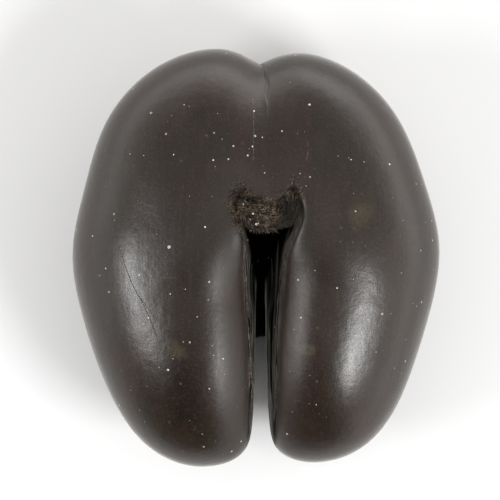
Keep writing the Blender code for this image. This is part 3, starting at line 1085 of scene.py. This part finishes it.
# Larger specks on the front: place and radius in millimetres
LARGE_SPECKS = (
    (-72.0, 99.4, 0.9), (-49.1, 104.3, 0.6), (-61.2, 84.2, 0.8), (-28.5, 84.4, 0.7), (-86.2, 71.1, 0.5),
    (-97.1, 30.1, 0.8), (-15.6, 75.5, 0.6), (-23.1, 80.3, 0.4), (-29.0, 65.9, 0.6), (-27.6, 61.5, 0.4),
    (-58.5, 7.5, 1.1), (-34.2, 20.9, 0.6), (-57.9, -24.0, 0.5), (-31.6, -15.9, 0.6), (-32.3, -28.0, 0.6),
    (-39.7, -39.4, 0.5), (-49.2, -56.4, 0.5), (-59.7, -75.7, 0.8), (-22.4, -68.0, 0.6), (-29.7, -59.0, 0.5),
    (-31.9, -88.5, 0.5), (-100.7, -23.2, 0.6), (28.1, -14.7, 0.7), (54.2, -20.0, 0.6), (85.5, -38.0, 0.9),
    (114.6, -30.6, 0.8), (98.8, -10.2, 0.5), (81.6, -64.0, 0.6), (103.6, -71.7, 0.7), (95.2, -76.0, 0.5),
    (30.1, -40.3, 0.6), (25.5, -48.5, 0.6), (36.1, 54.5, 0.7), (33.4, 48.4, 0.5), (73.1, 65.2, 0.5),
    (111.3, 51.4, 0.6), (17.5, 86.2, 0.6), (21.5, -122.2, 0.8), (-1.5, 100.3, 0.7), (-0.8, 82.7, 0.8),
)

# Pale flecks caught in the tuft: place and radius in millimetres
TUFT_FLECKS = (
    (-15.1, 30.5, 0.6), (-2.9, 29.3, 0.7), (-4.3, 26.6, 0.6), (-0.2, 23.9, 0.9), (1.1, 24.3, 0.6),
    (-3.6, 21.2, 0.6), (15.5, 19.2, 0.7), (7.5, 40.0, 0.4), (-9.0, 36.0, 0.4),
)

# How far the flecks lie over the tuft's bed, and the height from which all places are found straight below
FLECK_LIFT = 0.0026
HIGH_ABOVE = 0.3
MILLIMETRE = 0.001


def speck_roots(shell, core):
    """Points for the larger specks and the flecks, with their sizes and facings."""
    points, sizes, facings = [], [], []
    for piece, places, lift in ((shell, LARGE_SPECKS, 0.0), (core, TUFT_FLECKS, FLECK_LIFT)):
        for x, y, radius in places:
            above = Vector((x * MILLIMETRE, y * MILLIMETRE, HIGH_ABOVE))
            found, place, facing, _ = piece.ray_cast(above, Vector((0.0, 0.0, -1.0)))
            if found:
                points.append(place + facing * lift)
                sizes.append(radius * MILLIMETRE)
                facings.append(facing)
    mesh = bpy.data.meshes.new("speck_roots")
    mesh.from_pydata(points, [], [])
    mesh.attributes.new("size", "FLOAT", "POINT").data.foreach_set("value", sizes)
    mesh.attributes.new("facing", "FLOAT_VECTOR", "POINT").data.foreach_set("vector", np.ravel(facings))
    return mesh


def path_mesh(name, points):
    """A line of points joined by edges."""
    edges = [(point, point + 1) for point in range(len(points) - 1)]
    mesh = bpy.data.meshes.new(name)
    mesh.from_pydata([tuple(point) for point in points], edges, [])
    return mesh


def finish_piece(piece, material, slot, *nodes):
    """Gives a piece its material, hangs it on the part's body and hides the solids it stands for."""
    piece.data.materials.clear()
    piece.data.materials.append(material)
    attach(piece, "root")
    if nodes:
        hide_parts(*nodes)


# Splinters along each lip: name, seed of their shades, and where they lie along the nut
FLAKES = {-1: ("left_flakes", 3, -0.125, 0.012), 1: ("right_flakes", 8, -0.115, 0.050)}


def grow_specks(shell, core, material):
    """Small specks scattered over the shell, and the larger ones in their places."""
    sizes = {"Density": 2200.0, "Seed": 4, "Smallest": 0.00022, "Largest": 0.0008}
    small = grow("specks", shell.data.copy(), material, speck_tree, **sizes)
    large = grow("large_specks", speck_roots(shell, core), material, named_speck_tree, Scale=1.05)
    return small, large


def grow_fibres(shell, core, material):
    """Strands of the tuft, and the fuzz round the closed end of the cleft."""
    strands = grow(
        "tuft_strands", core.data.copy(), material, tuft_tree,
        Density=2.1e6, Seed=2, Steps=9, Shortest=0.002, Longest=0.0055,
        Curl=0.005, Kink=0.0010, Thickness=0.00022,
    )
    fuzz = grow(
        "tongue_fuzz", shell.data.copy(), material, fuzz_tree,
        Density=1.2e7, Seed=6, Steps=8, Shortest=0.0012, Longest=0.0032,
        Curl=0.003, Kink=0.0008, Thickness=0.00016,
    )
    return strands, fuzz


def grow_flakes(grid, side, shift, material):
    """Splinters along one lip of the cleft."""
    name, seed, low_y, high_y = FLAKES[side]
    path = lip_path(grid, side, shift)
    path = path[(path[:, 1] < high_y) & (path[:, 1] > low_y)]
    return grow(
        name, path_mesh(name, path), material, flake_tree,
        Count=90, Seed=seed, Shortest=0.05, Longest=0.22, Spread=0.0022,
        Rise=0.0009, Sway=0.0012, Width=0.0010,
    )


# Softboxes: direction, width and height, and watts, all at one distance from the nut's middle
SOFTBOXES = {
    "left_softbox": ((-0.77, -0.17, 0.62), (0.54, 0.085), 6.6),
    "right_softbox": ((0.60, -0.41, 0.70), (0.42, 0.21), 9.0),
    "side_softbox": ((0.84, -0.06, 0.54), (0.55, 0.45), 0.3),
    "back_softbox": ((0.25, 0.90, 0.22), (0.90, 0.25), 0.9),
}
LAMP_DISTANCE = 1.3
LAMP_TARGET = (0.0, 0.0, 0.10)

# Light of the whole surround and of its low part, each with its gain to the right and to the joined end
SKY_LIGHT = (0.65, 0.02, -0.20)
LOW_LIGHT = (1.60, 0.50, 1.30)
LOW_TOP = 0.55

# Dark part of the surround: its direction, how near to that it starts and is full, and how dark it is
DARK_DIRECTION = (-0.24, -0.88, 0.41)
DARK_EDGE = (0.50, 0.92)
DARK_SHARE = 0.95

# Surround's light at its brightest, and how far the table reaches each way
BRIGHTEST = (4.00, 3.95, 3.88)
TABLE_REACH = 2.0


def add_softbox(name, direction, size, power):
    """A rectangular lamp that faces the nut from a direction."""
    lamp = bpy.data.lights.new(name, "AREA")
    lamp.shape = "RECTANGLE"
    lamp.size, lamp.size_y = size
    lamp.energy = power
    holder = add_object(name, lamp)
    away = Vector(direction).normalized()
    holder.location = Vector(LAMP_TARGET) + away * LAMP_DISTANCE
    holder.rotation_euler = away.to_track_quat("Z", "Y").to_euler()


def add_surround():
    """Soft light from all sides, brightest low down at the joined end, and dark high over the tips."""
    world = bpy.data.worlds.new("surround")
    world.use_nodes = True
    graph = Graph(world.node_tree)
    x, y, z = graph.split(graph.node("ShaderNodeTexCoord"))
    low = 1.0 - z.step(0.0, LOW_TOP)
    sky, lower = (light + x * right + y * joined for light, right, joined in (SKY_LIGHT, LOW_LIGHT))
    dark = (x * DARK_DIRECTION[0] + y * DARK_DIRECTION[1] + z * DARK_DIRECTION[2]).step(*DARK_EDGE)
    glow = (sky + low * lower) * (1.0 - dark * DARK_SHARE)
    tone = graph.mix(glow / BRIGHTEST[0], colour(0.0, 0.0, 0.0), colour(*BRIGHTEST))
    level = graph.node("ShaderNodeBackground", {}, {"Color": tone})
    world.node_tree.links.new(level.socket, world.node_tree.nodes["World Output"].inputs["Surface"])
    bpy.context.scene.world = world


def add_table():
    """The wide white table that the nut lies on."""
    corners = [(x * TABLE_REACH, y * TABLE_REACH, 0.0) for x, y in ((-1, -1), (1, -1), (1, 1), (-1, 1))]
    table = add_mesh("table", corners, [(0, 1, 2, 3)])
    table.data.materials.append(table_material())


def add_camera(shift):
    """The camera, straight above the nut."""
    lens = bpy.data.cameras.new("camera")
    lens.lens = CAMERA_LENS
    lens.sensor_width = SENSOR_WIDTH
    camera = add_object("camera", lens)
    camera.location = Vector((CAMERA_X, CAMERA_Y, CAMERA_RISE)) + Vector(shift)
    bpy.context.scene.camera = camera


def add_studio(shift):
    """Table, softboxes, surround and camera."""
    add_table()
    for name, (direction, size, power) in SOFTBOXES.items():
        add_softbox(name, direction, size, power)
    add_surround()
    add_camera(shift)
    bpy.context.scene.view_settings.view_transform = "Standard"


def main():
    """The dressed nut in its studio."""
    grid = shell_grid()
    shift = frame_shift(grid)
    shell = make_shell(grid, shift)
    core = make_tuft_core(shift)
    speck = speck_material()
    specks = grow_specks(shell, core, speck)
    strand = fibre_material("husk_fibre", colour(0.016, 0.012, 0.009), colour(0.36, 0.265, 0.180))
    fibres = grow_fibres(shell, core, strand)
    flake = fibre_material("shell_flake", colour(0.022, 0.017, 0.013), colour(0.19, 0.155, 0.120))
    flakes = [grow_flakes(grid, side, shift, flake) for side in (-1, 1)]
    finish_piece(shell, shell_material(), "polished_shell", "shell")
    finish_piece(core, core_material(), "husk_fibre", "fibre_tuft")
    for pieces, material, slot in (
        (specks, speck, "polished_shell"),
        (flakes, flake, "polished_shell"),
        (fibres, strand, "husk_fibre"),
    ):
        for piece in pieces:
            finish_piece(piece, material, slot)
    add_studio(shift)


main()
